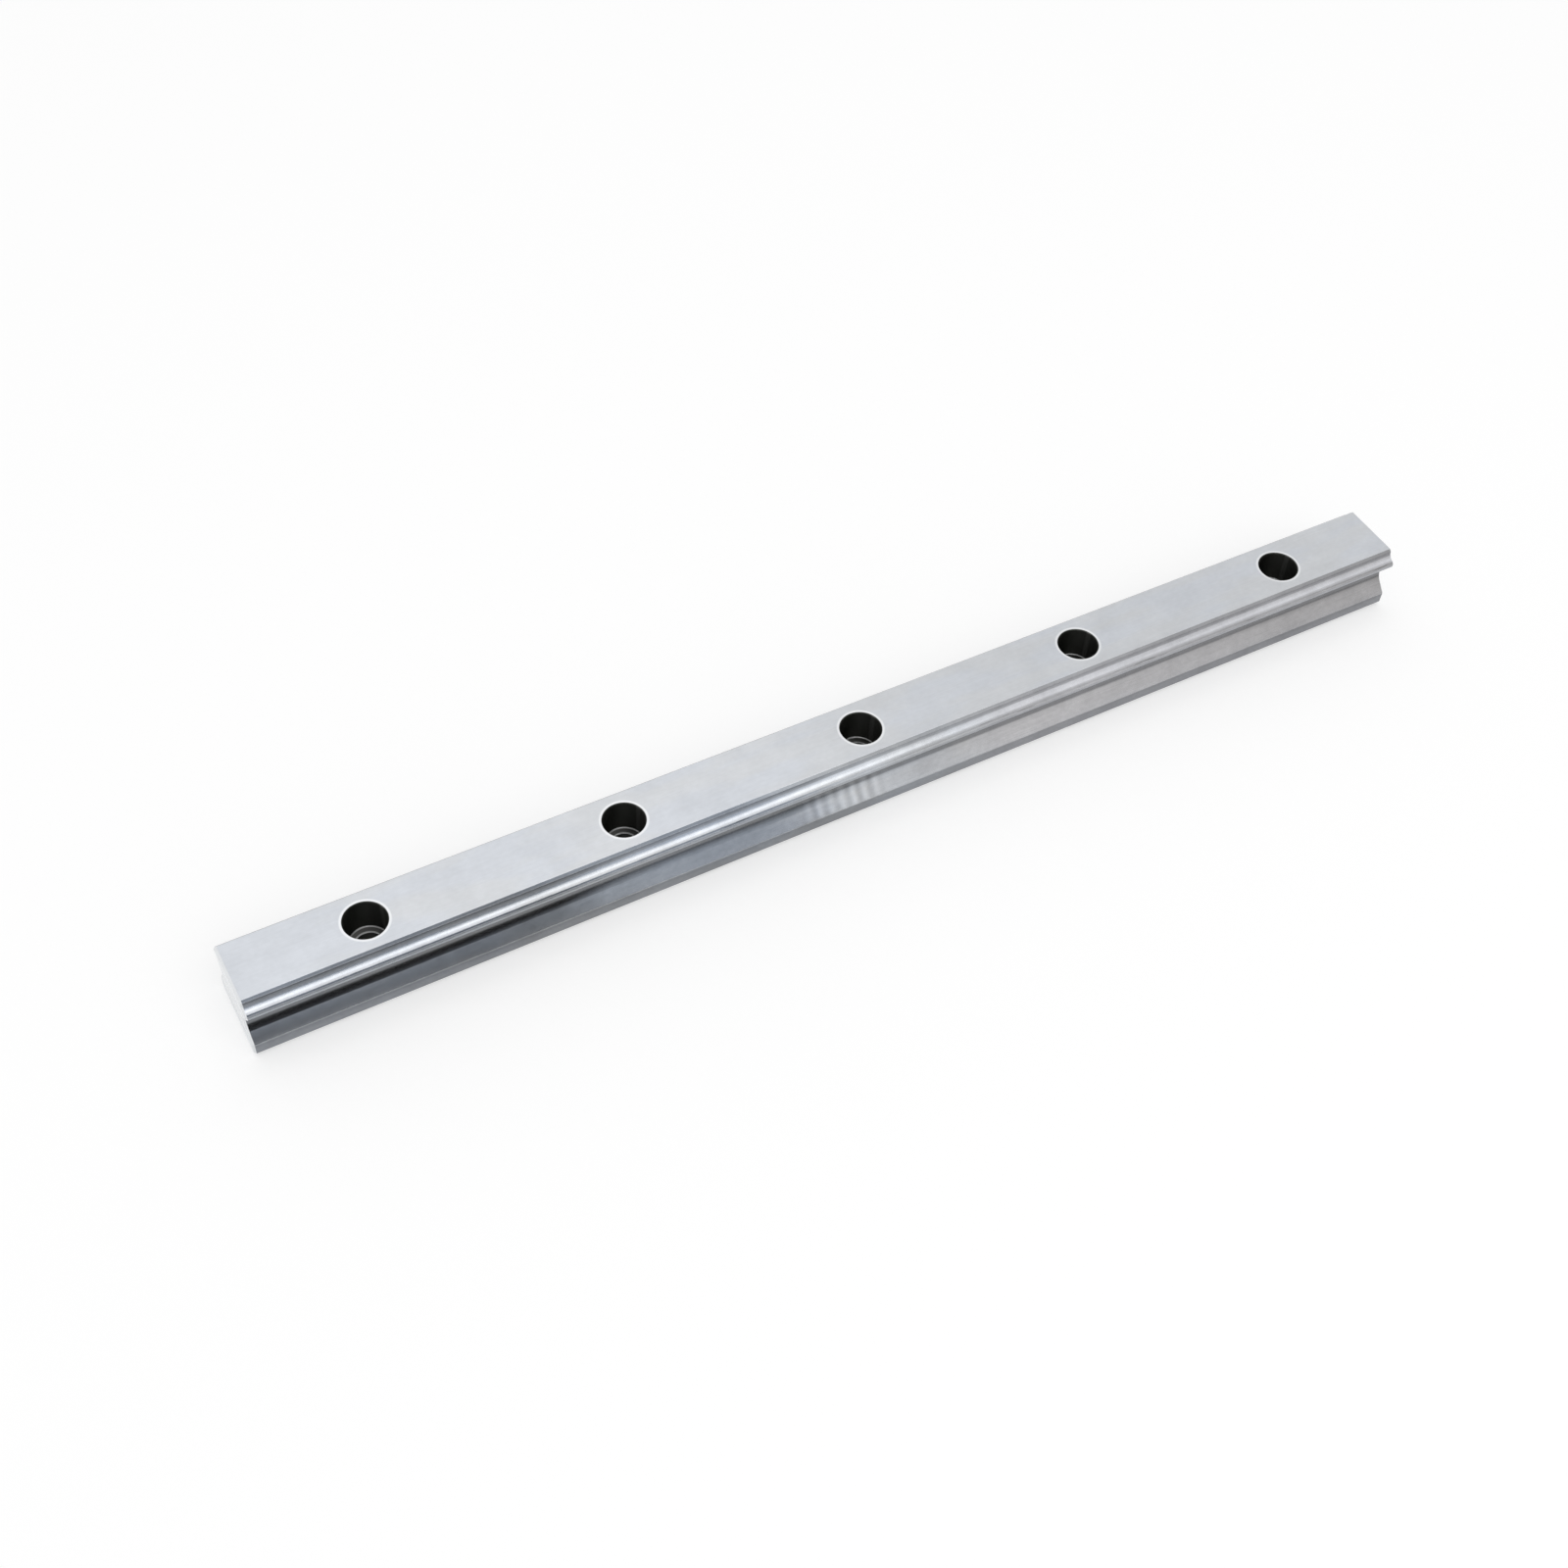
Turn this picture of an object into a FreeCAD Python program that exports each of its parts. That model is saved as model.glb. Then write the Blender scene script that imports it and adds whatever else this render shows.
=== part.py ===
"""Profile linear guide rail, size 20, 300 mm long, ground from one bar of bearing steel.

The rail lies along X with its mounting face on Z = 0 and its middle at the origin.
The section is drawn in the YZ plane, from the top land down one side to the mounting face:
a ball groove above and one below the ear, a narrower waist that curves out into a sloping
flank, an upright datum side and a chamfer. The other side is its mirror image.
All lengths are in millimetres.
"""

import FreeCAD
import Part
import math
import os

# The bar as a whole
RAIL_LENGTH = 300.0
RAIL_WIDTH = 20.0
RAIL_HEIGHT = 17.5

# Head: the top land, then the ball grooves above and below the ear
TOP_LAND_WIDTH = 14.8
GROOVE_NECK_WIDTH = 16.0      # across the head where the grooves are deepest
GROOVE_RADIUS = 2.1           # for balls of about 3.97 mm
UPPER_GROOVE_DROP = 0.65      # the upper groove's centre below the top land
GROOVE_SPACING = 6.0          # between the centres of the upper and the lower groove
EAR_CHAMFER_WIDTH = 0.43
EAR_CHAMFER_HEIGHT = 0.6

# Waist, flanks and base
WAIST_WIDTH = 13.6
WAIST_DROP = 1.0              # the waist's upper corner below the lower groove's centre
WAIST_HEIGHT = 2.05           # between the waist's upper and lower corner
WAIST_FILLET_RADIUS = 0.6     # where the lower groove runs out into the waist
FLANK_ROOT_RADIUS = 4.5       # the long curve from the waist out into the flank
BASE_SIDE_HEIGHT = 4.15       # the datum side's upper edge above the mounting face
BASE_EDGE_CHAMFER = 1.2

# Counterbored holes for M5 socket head cap screws
HOLE_COUNT = 5
HOLE_PITCH = 60.0
COUNTERBORE_DIAMETER = 9.5
COUNTERBORE_DEPTH = 8.5
COUNTERBORE_FLOOR_RADIUS = 0.3
SCREW_HOLE_DIAMETER = 6.0
TOP_MOUTH_CHAMFER = 0.25
BASE_MOUTH_CHAMFER = 0.3

# The break around each end face
END_EDGE_CHAMFER = 0.4

# The most that a fillet takes up of the straight line before or after it
FILLET_ROOM_SHARE = 0.98

ALONG = FreeCAD.Vector(1, 0, 0)
ACROSS = FreeCAD.Vector(0, 1, 0)
ORIGIN = FreeCAD.Vector(0, 0, 0)


def section_point(y, z):
    """A point in the section's plane."""
    return FreeCAD.Vector(0, y, z)


def straight(start, end):
    """A straight edge between two points."""
    return Part.makeLine(start, end)


def rounded_corner(before, corner, after, radius):
    """The fillet between the lines before-corner and corner-after, with its two tangent points.

    Its radius is limited by the length of the shorter line.
    """
    back = (before - corner).normalize()
    ahead = (after - corner).normalize()
    half_angle = back.getAngle(ahead) / 2
    room = min(before.distanceToPoint(corner), after.distanceToPoint(corner))
    reach = min(radius / math.tan(half_angle), FILLET_ROOM_SHARE * room)
    radius = reach * math.tan(half_angle)
    centre_distance = radius / math.sin(half_angle)
    inward = (back + ahead).normalize()
    centre = corner + inward * centre_distance
    middle = centre - inward * radius
    first = corner + back * reach
    last = corner + ahead * reach
    return Part.Arc(first, middle, last).toShape(), first, last


def groove_edge(centre, deepest, ear_edge):
    """The groove's arc from its deepest line to the ear, about the groove's centre."""
    chord_middle = (deepest + ear_edge) / 2
    outward = (chord_middle - centre).normalize()
    middle = centre + outward * GROOVE_RADIUS
    return Part.Arc(deepest, middle, ear_edge).toShape()


def side_edges():
    """The section's edges on the +Y side, and the points where they leave the land and reach the base."""
    half_width = RAIL_WIDTH / 2
    half_neck = GROOVE_NECK_WIDTH / 2
    groove_centre_y = half_neck + GROOVE_RADIUS
    upper_z = RAIL_HEIGHT - UPPER_GROOVE_DROP
    lower_z = upper_z - GROOVE_SPACING
    ear_edge_y = half_width - EAR_CHAMFER_WIDTH
    groove_drop = math.sqrt(GROOVE_RADIUS ** 2 - (groove_centre_y - ear_edge_y) ** 2)

    land_edge = section_point(TOP_LAND_WIDTH / 2, RAIL_HEIGHT)
    upper_deepest = section_point(half_neck, upper_z)
    upper_ear = section_point(ear_edge_y, upper_z - groove_drop)
    ear_top = section_point(half_width, upper_ear.z - EAR_CHAMFER_HEIGHT)
    lower_ear = section_point(ear_edge_y, lower_z + groove_drop)
    ear_foot = section_point(half_width, lower_ear.z + EAR_CHAMFER_HEIGHT)
    lower_deepest = section_point(half_neck, lower_z)
    waist_top = section_point(WAIST_WIDTH / 2, lower_z - WAIST_DROP)
    flank_top = section_point(WAIST_WIDTH / 2, waist_top.z - WAIST_HEIGHT)
    side_top = section_point(half_width, BASE_SIDE_HEIGHT)
    side_foot = section_point(half_width, BASE_EDGE_CHAMFER)
    base_edge = section_point(half_width - BASE_EDGE_CHAMFER, 0)

    upper_fillet, relief_end, waist_start = rounded_corner(
        lower_deepest, waist_top, flank_top, WAIST_FILLET_RADIUS
    )
    root_curve, waist_end, flank_start = rounded_corner(
        waist_start, flank_top, side_top, FLANK_ROOT_RADIUS
    )
    edges = [
        straight(land_edge, upper_deepest),
        groove_edge(section_point(groove_centre_y, upper_z), upper_deepest, upper_ear),
        straight(upper_ear, ear_top),
        straight(ear_top, ear_foot),
        straight(ear_foot, lower_ear),
        groove_edge(section_point(groove_centre_y, lower_z), lower_deepest, lower_ear),
        straight(lower_deepest, relief_end),
        upper_fillet,
        straight(waist_start, waist_end),
        root_curve,
        straight(flank_start, side_top),
        straight(side_top, side_foot),
        straight(side_foot, base_edge),
    ]
    return edges, land_edge, base_edge


def bar():
    """The section drawn out along X, with every edge of both end faces broken."""
    right, land_edge, base_edge = side_edges()
    left = [edge.mirror(ORIGIN, ACROSS) for edge in right]
    top = straight(section_point(-land_edge.y, land_edge.z), land_edge)
    base = straight(base_edge, section_point(-base_edge.y, base_edge.z))
    outline = Part.Wire(Part.__sortEdges__(right + left + [top, base]))
    face = Part.Face(outline)
    face.translate(ALONG * (-RAIL_LENGTH / 2))
    solid = face.extrude(ALONG * RAIL_LENGTH)
    ends = [face for face in solid.Faces if abs(abs(face.CenterOfMass.x) - RAIL_LENGTH / 2) < 1e-6]
    end_edges = [edge for face in ends for edge in face.Edges]
    return solid.makeChamfer(END_EDGE_CHAMFER, end_edges)


def screw_hole():
    """The solid cut out for one screw, standing on the origin: hole, counterbore and chamfered mouths."""
    hole_radius = SCREW_HOLE_DIAMETER / 2
    bore_radius = COUNTERBORE_DIAMETER / 2
    floor_z = RAIL_HEIGHT - COUNTERBORE_DEPTH
    corner = FreeCAD.Vector(bore_radius, 0, floor_z)
    axis_foot = FreeCAD.Vector(0, 0, 0)
    axis_top = FreeCAD.Vector(0, 0, RAIL_HEIGHT)
    base_mouth = FreeCAD.Vector(hole_radius + BASE_MOUTH_CHAMFER, 0, 0)
    hole_foot = FreeCAD.Vector(hole_radius, 0, BASE_MOUTH_CHAMFER)
    hole_top = FreeCAD.Vector(hole_radius, 0, floor_z)
    bore_top = FreeCAD.Vector(bore_radius, 0, RAIL_HEIGHT - TOP_MOUTH_CHAMFER)
    top_mouth = FreeCAD.Vector(bore_radius + TOP_MOUTH_CHAMFER, 0, RAIL_HEIGHT)
    fillet, floor_end, wall_start = rounded_corner(
        hole_top, corner, bore_top, COUNTERBORE_FLOOR_RADIUS
    )
    edges = [
        straight(axis_foot, base_mouth),
        straight(base_mouth, hole_foot),
        straight(hole_foot, hole_top),
        straight(hole_top, floor_end),
        fillet,
        straight(wall_start, bore_top),
        straight(bore_top, top_mouth),
        straight(top_mouth, axis_top),
        straight(axis_top, axis_foot),
    ]
    half_profile = Part.Face(Part.Wire(edges))
    return half_profile.revolve(ORIGIN, FreeCAD.Vector(0, 0, 1), 360)


def guide_rail():
    """The finished rail: the bar with its row of screw holes centred along it."""
    rail = bar()
    tool = screw_hole()
    first_x = -HOLE_PITCH * (HOLE_COUNT - 1) / 2
    for index in range(HOLE_COUNT):
        hole = tool.copy()
        hole.translate(ALONG * (first_x + HOLE_PITCH * index))
        rail = rail.cut(hole)
    return rail.Solids[0]


os.makedirs("parts", exist_ok=True)
rail = guide_rail()
rail.exportStep("parts/guide_rail.step")
print("solid", rail.isValid(), "volume cm3", round(rail.Volume / 1000, 3), "box", rail.BoundBox)
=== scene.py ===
"""Looks of the profile linear guide rail: ground steel, a pale studio floor and soft light.

The rail is one bar of steel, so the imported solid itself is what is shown. This script dresses it,
surface by surface of its section, and places the floor, the lamps, the front card and the camera.
Places and sizes on the rail and on the front card are in millimetres, the others in metres.
"""

import logging
import math
from collections.abc import Callable, Sequence
from dataclasses import dataclass, field
from enum import Enum

import bpy
from mathutils import Matrix, Vector

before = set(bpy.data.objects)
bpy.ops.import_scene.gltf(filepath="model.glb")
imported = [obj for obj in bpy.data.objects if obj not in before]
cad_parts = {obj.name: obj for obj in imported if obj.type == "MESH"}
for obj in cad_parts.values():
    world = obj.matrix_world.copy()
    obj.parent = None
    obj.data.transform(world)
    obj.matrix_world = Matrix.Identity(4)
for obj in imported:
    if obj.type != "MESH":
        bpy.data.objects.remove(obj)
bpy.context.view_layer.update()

LOG = logging.getLogger("guide_rail")
MM = 0.001
NODE = "guide_rail"

Point = tuple[float, float, float]
Colour = tuple[float, float, float]
Opaque = tuple[float, float, float, float]
Span = tuple[float, float]
Socket = bpy.types.NodeSocket
Value = Socket | float | Colour | Opaque

WHITE: Opaque = (1.0, 1.0, 1.0, 1.0)
# How much red a tinted grey loses for the blue that it gains
RED_SHARE = 0.7
# What the noise patterns vary about
NOISE_MIDDLE = 0.5


class Region(Enum):
    """Surfaces of the rail's section, from the mounting face up."""

    MOUNTING_FACE = "mounting face"
    BASE_CHAMFER = "base chamfer"
    DATUM_SIDE = "datum side"
    SIDE_EDGE = "datum side's upper edge"
    FLANK_FOOT = "foot of the flank"
    FLANK = "flank"
    FLANK_ROOT = "root of the flank"
    WAIST = "waist"
    LOWER_GROOVE = "lower groove"
    EAR_SIDE = "ear's side with its lower chamfer"
    EAR_TOP = "ear's upper chamfer"
    EAR_EDGE = "edge above the ear's upper chamfer"
    GROOVE_LIP = "upper groove's lip"
    GROOVE_FLOOR = "upper groove's floor"
    GROOVE_WALL = "upper groove's wall"
    GROOVE_CORNER = "corner above the upper groove"
    TOP_EDGE = "chamfer beside the top land"
    TOP_LAND = "top land"


@dataclass(frozen=True)
class SteelFinishAndPaintedLight:
    """How one surface of the section is finished, with painted light and shade in its colour.

    Args:
        low: height at which the finish starts.
        high: height at which it ends; the steel changes evenly up to the next one. It may be
            the same height, for a finish that is only passed through.
        colour: linear base colour of the steel there, with painted light and shade in it.
        roughness: mean roughness.
    """

    low: float
    high: float
    colour: Colour
    roughness: float


def cool(level: float, tint: float) -> Colour:
    """A grey of a linear brightness; the tint says how blue it is, and below 0 it is warm."""
    return (level * (1.0 - RED_SHARE * tint), level, level * (1.0 + tint))


# Painted light and shade: besides the top land's own grey, each surface's colour is set lighter or
# darker for the light, shade and reflections that reach it. The waist and the flank's root are
# darkened as painted shade under the ear; the datum side and the base chamfer are darkened as a
# painted reflection of the shaded floor in front.
FINISHES_AND_PAINTED_LIGHT: dict[Region, SteelFinishAndPaintedLight] = {
    Region.MOUNTING_FACE: SteelFinishAndPaintedLight(-0.50, 0.01, cool(0.500, 0.020), 0.36),
    Region.BASE_CHAMFER: SteelFinishAndPaintedLight(0.03, 1.17, cool(0.275, 0.040), 0.36),
    Region.DATUM_SIDE: SteelFinishAndPaintedLight(1.25, 2.60, cool(0.298, 0.050), 0.39),
    Region.SIDE_EDGE: SteelFinishAndPaintedLight(3.85, 3.85, cool(0.340, 0.040), 0.74),
    Region.FLANK_FOOT: SteelFinishAndPaintedLight(4.20, 4.20, cool(0.460, 0.020), 0.22),
    Region.FLANK: SteelFinishAndPaintedLight(5.60, 7.45, cool(0.455, 0.010), 0.15),
    Region.FLANK_ROOT: SteelFinishAndPaintedLight(7.90, 8.60, cool(0.220, 0.030), 0.16),
    Region.WAIST: SteelFinishAndPaintedLight(9.00, 10.80, cool(0.200, 0.050), 0.32),
    Region.LOWER_GROOVE: SteelFinishAndPaintedLight(11.00, 12.80, cool(0.580, 0.030), 0.24),
    Region.EAR_SIDE: SteelFinishAndPaintedLight(12.95, 14.15, cool(0.385, 0.050), 0.11),
    Region.EAR_TOP: SteelFinishAndPaintedLight(14.24, 14.42, cool(0.460, 0.030), 0.40),
    Region.EAR_EDGE: SteelFinishAndPaintedLight(14.58, 14.80, cool(0.400, 0.030), 0.13),
    Region.GROOVE_LIP: SteelFinishAndPaintedLight(14.90, 14.90, cool(0.460, 0.030), 0.26),
    Region.GROOVE_FLOOR: SteelFinishAndPaintedLight(15.05, 15.75, cool(0.620, 0.040), 0.25),
    Region.GROOVE_WALL: SteelFinishAndPaintedLight(16.05, 16.30, cool(0.430, 0.040), 0.54),
    Region.GROOVE_CORNER: SteelFinishAndPaintedLight(16.85, 16.85, cool(0.320, 0.040), 0.44),
    Region.TOP_EDGE: SteelFinishAndPaintedLight(16.98, 17.40, cool(0.390, 0.040), 0.10),
    Region.TOP_LAND: SteelFinishAndPaintedLight(17.48, 17.60, cool(0.620, 0.034), 0.36),
}


@dataclass(frozen=True)
class Pattern:
    """A soft random pattern.

    Args:
        pace: how fast it changes along each axis, per millimetre.
        detail: how many finer layers it holds.
    """

    pace: Point
    detail: float


def moved(span: Span, by: float) -> Span:
    """A span moved on by a size."""
    return (span[0] + by, span[1] + by)


def grey(level: float) -> Opaque:
    """An opaque grey."""
    return (level, level, level, 1.0)


def opaque(colour: Colour) -> Opaque:
    """A colour with an alpha of 1."""
    return (*colour, 1.0)


class NodeBench:
    """Adds and joins shader nodes in one tree, left to right."""

    COLUMN_WIDTH = 40
    ROW_HEIGHT = 120
    ROWS = 7
    # Where a Mix node has its amount, its first and its second colour or number
    COLOUR_SOCKETS = (0, 6, 7)
    NUMBER_SOCKETS = (0, 2, 3)
    COLOUR_RESULT = 2
    # How many stops a new ramp comes with
    PRESET_STOPS = 2

    def __init__(self, tree: bpy.types.NodeTree) -> None:
        """Keep the tree and clear it.

        Args:
            tree: the tree that the nodes go in.
        """
        self.tree = tree
        tree.nodes.clear()
        self.column = 0

    @classmethod
    def on_material(cls, name: str) -> tuple[bpy.types.Material, "NodeBench"]:
        """Make a material with an empty tree.

        Args:
            name: the material's name.

        Returns:
            The material, and a bench on its tree.
        """
        made = bpy.data.materials.new(name)
        made.use_nodes = True
        return made, cls(made.node_tree)

    def add(self, kind: str, **settings: object) -> bpy.types.Node:
        """Add a node.

        Args:
            kind: the node's type name.
            settings: attributes to set on it.

        Returns:
            The new node.
        """
        node = self.tree.nodes.new(kind)
        row = self.column % self.ROWS
        node.location = (self.column * self.COLUMN_WIDTH, -row * self.ROW_HEIGHT)
        self.column += 1
        for name, value in settings.items():
            setattr(node, name, value)
        return node

    def join(self, source: Socket, target: Socket) -> None:
        """Link two sockets."""
        self.tree.links.new(source, target)

    def feed(self, socket: Socket, value: Value) -> None:
        """Link a socket to another one, or set it to a constant.

        Args:
            socket: the input to feed.
            value: an output to link, or the constant.
        """
        if isinstance(value, Socket):
            self.join(value, socket)
        else:
            socket.default_value = value

    def math(self, operation: str, *inputs: Value, clamp: bool = False) -> Socket:
        """Work out a number.

        Args:
            operation: the Math node's operation.
            inputs: the numbers that it takes.
            clamp: keep the result between 0 and 1.

        Returns:
            The result.
        """
        node = self.add("ShaderNodeMath", operation=operation, use_clamp=clamp)
        for socket, value in zip(node.inputs, inputs):
            self.feed(socket, value)
        return node.outputs[0]

    def total(self, first: Value, second: Value, clamp: bool = False) -> Socket:
        """The sum of two numbers, kept between 0 and 1 if wanted."""
        return self.math("ADD", first, second, clamp=clamp)

    def difference(self, first: Value, second: Value) -> Socket:
        """The first number less the second."""
        return self.math("SUBTRACT", first, second)

    def product(self, first: Value, *others: Value) -> Socket:
        """Multiply numbers.

        Args:
            first: the first number.
            others: what it is multiplied by, in turn.

        Returns:
            The product.
        """
        result = first
        for other in others:
            result = self.math("MULTIPLY", result, other)
        return result

    def quotient(self, first: Value, second: Value) -> Socket:
        """The first number divided by the second."""
        return self.math("DIVIDE", first, second)

    def opposite(self, share: Value) -> Socket:
        """What a share leaves of 1."""
        return self.difference(1.0, share)

    def distance(self, first: Value, second: Value = 0.0) -> Socket:
        """How far two numbers are apart."""
        return self.math("ABSOLUTE", self.difference(first, second))

    def step(self, value: Value, span: Span, smooth: bool = True) -> Socket:
        """A ramp from 0 to 1, clamped.

        Args:
            value: the number to read.
            span: where the result is 0, and where it is 1.
            smooth: ease both ends of the ramp.

        Returns:
            The ramp's value.
        """
        kind = "SMOOTHSTEP" if smooth else "LINEAR"
        node = self.add("ShaderNodeMapRange", interpolation_type=kind)
        self.feed(node.inputs["Value"], value)
        node.inputs["From Min"].default_value, node.inputs["From Max"].default_value = span
        return node.outputs["Result"]

    def window(self, value: Value, rise: Span, fall: Span) -> Socket:
        """A number that goes smoothly from 0 to 1 over the rise and back to 0 over the fall."""
        return self.product(self.step(value, rise), self.opposite(self.step(value, fall)))

    def mix(self, amount: Value, first: Value, second: Value) -> Socket:
        """Mix two colours.

        Args:
            amount: share of the second one.
            first: the first colour.
            second: the second colour.

        Returns:
            The mixed colour.
        """
        node = self.add("ShaderNodeMix", data_type="RGBA")
        for place, value in zip(self.COLOUR_SOCKETS, (amount, first, second)):
            self.feed(node.inputs[place], value)
        return node.outputs[self.COLOUR_RESULT]

    def blend(self, amount: Value, first: Value, second: Value) -> Socket:
        """Mix two numbers.

        Args:
            amount: share of the second one.
            first: the first number.
            second: the second number.

        Returns:
            The mixed number.
        """
        node = self.add("ShaderNodeMix", data_type="FLOAT")
        for place, value in zip(self.NUMBER_SOCKETS, (amount, first, second)):
            self.feed(node.inputs[place], value)
        return node.outputs[0]

    def vector(self, operation: str, first: Value, second: Value) -> Socket:
        """Work out a vector.

        Args:
            operation: the Vector Math node's operation.
            first: the first vector.
            second: the second vector.

        Returns:
            The result.
        """
        node = self.add("ShaderNodeVectorMath", operation=operation)
        self.feed(node.inputs[0], first)
        self.feed(node.inputs[1], second)
        return node.outputs[0]

    def scaled(self, vector: Socket, factor: Value) -> Socket:
        """Scale a vector or a colour.

        Args:
            vector: what is scaled.
            factor: the scale.

        Returns:
            The scaled vector.
        """
        node = self.add("ShaderNodeVectorMath", operation="SCALE")
        self.join(vector, node.inputs[0])
        self.feed(node.inputs["Scale"], factor)
        return node.outputs[0]

    def noise(self, point: Socket, pattern: Pattern) -> Socket:
        """Read a random pattern.

        Args:
            point: the place on the rail.
            pattern: the pattern.

        Returns:
            Its value there, from 0 to 1.
        """
        node = self.add("ShaderNodeTexNoise")
        self.join(self.vector("MULTIPLY", point, pattern.pace), node.inputs["Vector"])
        node.inputs["Scale"].default_value = 1.0
        node.inputs["Detail"].default_value = pattern.detail
        return node.outputs["Fac"]

    def ramp(self, value: Value, span: Span, stops: Sequence[tuple[float, Opaque]]) -> Socket:
        """Colours that change evenly from one place to the next.

        Args:
            value: the number to read.
            span: where the ramp starts and ends.
            stops: places within it in rising order, each with its colour.

        Returns:
            The colour.
        """
        start, end = span
        node = self.add("ShaderNodeValToRGB")
        elements = node.color_ramp.elements
        for index, (place, colour) in enumerate(stops):
            position = (place - start) / (end - start)
            preset = index < self.PRESET_STOPS
            element = elements[index] if preset else elements.new(position)
            element.position = position
            element.color = colour
        self.join(self.quotient(self.difference(value, start), end - start), node.inputs[0])
        return node.outputs["Color"]

    def seen_directly(self) -> Socket:
        """1 for what the camera sees itself or in metal or glass, else 0.

        Returns:
            The number.
        """
        path = self.add("ShaderNodeLightPath")
        plain_or_mirrored = self.total(path.outputs["Is Camera Ray"], path.outputs["Is Glossy Ray"])
        return self.total(plain_or_mirrored, path.outputs["Is Transmission Ray"], clamp=True)

    def finish(self, shader: Socket, output: str = "ShaderNodeOutputMaterial") -> None:
        """Join the last shader to the tree's output."""
        self.join(shader, self.add(output).inputs["Surface"])


@dataclass(frozen=True)
class RailPlace:
    """The place on the rail that is shaded, in millimetres.

    Args:
        point: the whole place as a vector.
        x: along the rail, from its middle.
        y: across the rail, from its middle.
        z: above the mounting face.
        on_land: 1 on the top land, else 0.
    """

    point: Socket
    x: Socket
    y: Socket
    z: Socket
    on_land: Socket

    @classmethod
    def read(cls, bench: NodeBench, land: Span) -> "RailPlace":
        """Read the place from Object coordinates.

        Args:
            bench: where the nodes go.
            land: heights between which the top land's own finish begins.

        Returns:
            The place.
        """
        metres = bench.add("ShaderNodeTexCoord").outputs["Object"]
        point = bench.scaled(metres, 1.0 / MM)
        axes = bench.add("ShaderNodeSeparateXYZ")
        bench.join(point, axes.inputs[0])
        x, y, z = axes.outputs
        return cls(point, x, y, z, bench.step(z, land))


@dataclass(frozen=True)
class Chatter:
    """Marks of grinding chatter across the near flank, in one stretch of the rail.

    Args:
        pitch: from one mark to the next.
        crest: where one of the marks lies along the rail.
        begin: places along the rail between which the marks set in.
        cease: places along the rail between which they die out.
        foot: heights between which they set in, over the datum side.
        root: heights between which they die out, under the waist.
        drift: what makes some marks stronger than others.
        least: how strong the weakest mark is.
        contrast: how much they change the steel's brightness.
        depth: how deep they are.
    """

    pitch: float = 3.05
    crest: float = -8.85
    begin: Span = (-21.5, -15.5)
    cease: Span = (-1.5, 4.5)
    foot: Span = (3.6, 4.6)
    root: Span = (8.0, 10.0)
    drift: Pattern = Pattern((0.30, 0.20, 0.20), 1.0)
    least: float = 0.2
    contrast: float = 0.20
    depth: float = 0.03

    def wave(self, bench: NodeBench, place: RailPlace) -> Socket:
        """The marks as a wave about 0.

        Args:
            bench: where the nodes go.
            place: the place on the rail.

        Returns:
            The wave's height there, up to about 1.
        """
        phase = bench.product(bench.difference(place.x, self.crest), 2 * math.pi / self.pitch)
        strength = bench.total(bench.noise(place.point, self.drift), self.least)
        along = bench.window(place.x, self.begin, self.cease)
        upward = bench.window(place.z, self.foot, self.root)
        near_side = bench.math("LESS_THAN", place.y, 0.0)
        return bench.product(bench.math("COSINE", phase), strength, along, upward, near_side)


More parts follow.
